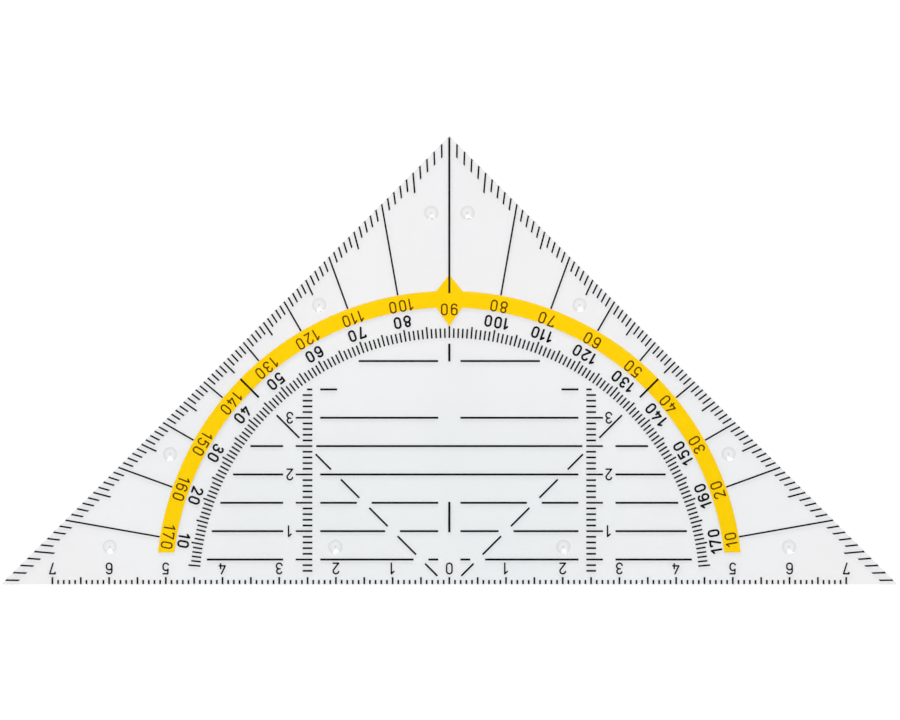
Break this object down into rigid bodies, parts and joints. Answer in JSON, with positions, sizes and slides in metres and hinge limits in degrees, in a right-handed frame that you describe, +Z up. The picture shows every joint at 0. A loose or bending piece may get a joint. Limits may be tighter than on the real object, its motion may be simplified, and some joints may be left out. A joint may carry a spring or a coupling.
{
  "type": "geometry set square",
  "caption": "Clear plastic 45 degree geometry set square with protractor rings, centimetre scale, parallels, yellow band and anti-blot nubs.",
  "frame": {"origin": "zero mark of the centimetre scale, on the lower corner line of the drawing edge at paper height, which is the level of the nub tips", "axes": "+X along the drawing edge, +Y from the drawing edge to the right-angled corner, +Z up out of the paper towards the viewer"},
  "size_m": [0.1576, 0.0789, 0.0018],
  "materials": {
    "clear_plastic": "clear, colourless, glossy moulding with polished faces",
    "black_ink": "black printing ink seen through the plate",
    "yellow_ink": "opaque yellow printing ink seen through the plate"
  },
  "bodies": {
    "root": {"clear_plate": "clear_plastic", "yellow_band": "yellow_ink", "drawing_edge_ticks": "black_ink", "drawing_edge_numerals": "black_ink", "right_leg_ticks": "black_ink", "left_leg_ticks": "black_ink", "ten_degree_rays": "black_ink", "right_angle_line": "black_ink", "diagonal_marks": "black_ink", "inner_ring_ticks": "black_ink", "inner_ring_numerals": "black_ink", "outer_ring_numerals": "black_ink", "parallel_lines": "black_ink", "outer_parallel_lines": "black_ink", "left_side_ticks": "black_ink", "right_side_ticks": "black_ink", "side_numerals": "black_ink", "diagonal_dashes": "black_ink", "centre_dashes": "black_ink"}
  },
  "joints": []
}
